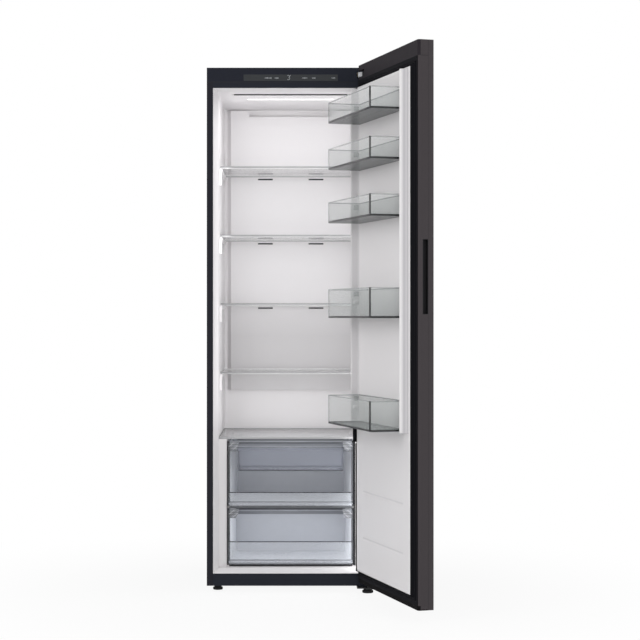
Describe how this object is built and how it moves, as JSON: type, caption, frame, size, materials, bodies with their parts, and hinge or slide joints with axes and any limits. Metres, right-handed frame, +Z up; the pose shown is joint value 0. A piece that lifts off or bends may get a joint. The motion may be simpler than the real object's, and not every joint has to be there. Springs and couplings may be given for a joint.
{
  "type": "single-door refrigerator",
  "caption": "Tall single-door refrigerator: steel cabinet with white liner, glass shelves, drawers and rear cooling, hinged door with clear baskets.",
  "frame": {"origin": "on the floor, under the middle of the cabinet's front plane", "axes": "+Z up, +Y from the cabinet's front to its rear, +X to the hinge side"},
  "size_m": [0.7539, 1.2408, 1.8585],
  "materials": {
    "frame_paint": "satin",
    "door_paint": "satin",
    "zinc_steel": "satin",
    "hinge_steel": "satin",
    "black_steel": "satin",
    "foam": "matt",
    "white_plastic": "satin",
    "frame_plastic": "satin",
    "cap_plastic": "satin",
    "strip_plastic": "gloss",
    "board": "matt",
    "lens": "satin",
    "fins": "satin",
    "grey_plastic": "satin",
    "dark_plastic": "matt",
    "glass": "gloss",
    "trim": "gloss",
    "drawer_clear": "gloss",
    "basket_clear": "gloss",
    "rubber": "matt",
    "copper": "satin"
  },
  "bodies": {
    "cabinet": {"side_panels": "frame_paint", "top_panel": "frame_paint", "rear_panel": "zinc_steel", "base_plate": "zinc_steel", "cabinet_foam": "foam", "inner_liner": "white_plastic", "cross_rails": "frame_paint", "header_panel": "frame_plastic", "display_panel": "strip_plastic", "control_board": "board", "ceiling_cover": "white_plastic", "lamp_lens": "lens", "duct_cover": "white_plastic", "evaporator": "fins", "evaporator_fan_housing": "white_plastic", "drain_channel": "grey_plastic", "inner_runners": "white_plastic", "compressor": "black_steel", "compressor_mounts": "rubber", "condenser": "black_steel", "drip_pan": "grey_plastic", "machine_cover": "dark_plastic", "refrigerant_pipes": "copper", "cord_gland": "rubber", "upper_hinge": "hinge_steel", "lower_hinge": "black_steel", "hinge_screws": "zinc_steel"},
    "door": {"door_skin": "door_paint", "door_side_frames": "door_paint", "door_foam": "foam", "door_ridge_cores": "foam", "door_liner": "white_plastic", "door_gasket": "rubber", "door_top_cap": "cap_plastic", "door_bottom_cap": "dark_plastic", "handle_pocket": "dark_plastic"},
    "basket_1": {"basket_1": "basket_clear"},
    "basket_2": {"basket_2": "basket_clear"},
    "basket_3": {"basket_3": "basket_clear"},
    "basket_4": {"basket_4": "basket_clear"},
    "basket_5": {"basket_5": "basket_clear"},
    "shelf_1": {"shelf_1_glass": "glass", "shelf_1_trims": "trim"},
    "shelf_2": {"shelf_2_glass": "glass", "shelf_2_trims": "trim"},
    "shelf_3": {"shelf_3_glass": "glass", "shelf_3_trims": "trim"},
    "shelf_4": {"shelf_4_glass": "glass", "shelf_4_trims": "trim"},
    "crisper_cover": {"crisper_frame": "trim", "crisper_glass": "glass"},
    "drawer_upper": {"drawer_upper": "drawer_clear"},
    "drawer_lower": {"drawer_lower": "drawer_clear"},
    "drawer_tray": {"drawer_tray": "drawer_clear"},
    "evaporator_fan": {"evaporator_fan": "dark_plastic"},
    "condenser_fan": {"condenser_fan": "grey_plastic"},
    "foot_left": {"foot_left": "dark_plastic"},
    "foot_right": {"foot_right": "dark_plastic"},
    "roller_left": {"roller_left": "dark_plastic"},
    "roller_right": {"roller_right": "dark_plastic"}
  },
  "joints": [
    {"name": "door_hinge", "type": "hinge", "parent": "cabinet", "child": "door", "pos_m": [0.276, -0.04, 0.9], "axis": [0, 0, 1], "range_deg": [-106.4, 13.6]},
    {"name": "basket_1_lift", "type": "slide", "parent": "door", "child": "basket_1", "axis": [0, 0, 1], "range_m": [0, 0.025]},
    {"name": "basket_2_lift", "type": "slide", "parent": "door", "child": "basket_2", "axis": [0, 0, 1], "range_m": [0, 0.025]},
    {"name": "basket_3_lift", "type": "slide", "parent": "door", "child": "basket_3", "axis": [0, 0, 1], "range_m": [0, 0.025]},
    {"name": "basket_4_lift", "type": "slide", "parent": "door", "child": "basket_4", "axis": [0, 0, 1], "range_m": [0, 0.025]},
    {"name": "basket_5_lift", "type": "slide", "parent": "door", "child": "basket_5", "axis": [0, 0, 1], "range_m": [0, 0.025]},
    {"name": "shelf_1_slide", "type": "slide", "parent": "cabinet", "child": "shelf_1", "axis": [0, -1, 0], "range_m": [0, 0.12]},
    {"name": "shelf_2_slide", "type": "slide", "parent": "cabinet", "child": "shelf_2", "axis": [0, -1, 0], "range_m": [0, 0.12]},
    {"name": "shelf_3_slide", "type": "slide", "parent": "cabinet", "child": "shelf_3", "axis": [0, -1, 0], "range_m": [0, 0.12]},
    {"name": "shelf_4_slide", "type": "slide", "parent": "cabinet", "child": "shelf_4", "axis": [0, -1, 0], "range_m": [0, 0.12]},
    {"name": "crisper_cover_slide", "type": "slide", "parent": "cabinet", "child": "crisper_cover", "axis": [0, -1, 0], "range_m": [0, 0.045]},
    {"name": "drawer_upper_slide", "type": "slide", "parent": "cabinet", "child": "drawer_upper", "axis": [0, -1, 0], "range_m": [0, 0.35]},
    {"name": "drawer_lower_slide", "type": "slide", "parent": "cabinet", "child": "drawer_lower", "axis": [0, -1, 0], "range_m": [0, 0.25]},
    {"name": "drawer_tray_slide", "type": "slide", "parent": "drawer_upper", "child": "drawer_tray", "axis": [0, 1, 0], "range_m": [0, 0.25]},
    {"name": "evaporator_fan_spin", "type": "hinge", "parent": "cabinet", "child": "evaporator_fan", "pos_m": [0, 0.575, 0.973], "axis": [0, 1, 0], "continuous": true},
    {"name": "condenser_fan_spin", "type": "hinge", "parent": "cabinet", "child": "condenser_fan", "pos_m": [-0.169, 0.51, 0.1232], "axis": [0, 1, 0], "continuous": true},
    {"name": "foot_left_turn", "type": "hinge", "parent": "cabinet", "child": "foot_left", "pos_m": [-0.26, 0.048, 0.01], "axis": [0, 0, 1], "continuous": true},
    {"name": "foot_right_turn", "type": "hinge", "parent": "cabinet", "child": "foot_right", "pos_m": [0.272, -0.024, 0.01], "axis": [0, 0, 1], "continuous": true},
    {"name": "roller_left_spin", "type": "hinge", "parent": "cabinet", "child": "roller_left", "pos_m": [-0.23, 0.6, 0.015], "axis": [1, 0, 0], "continuous": true},
    {"name": "roller_right_spin", "type": "hinge", "parent": "cabinet", "child": "roller_right", "pos_m": [0.23, 0.6, 0.015], "axis": [1, 0, 0], "continuous": true}
  ]
}
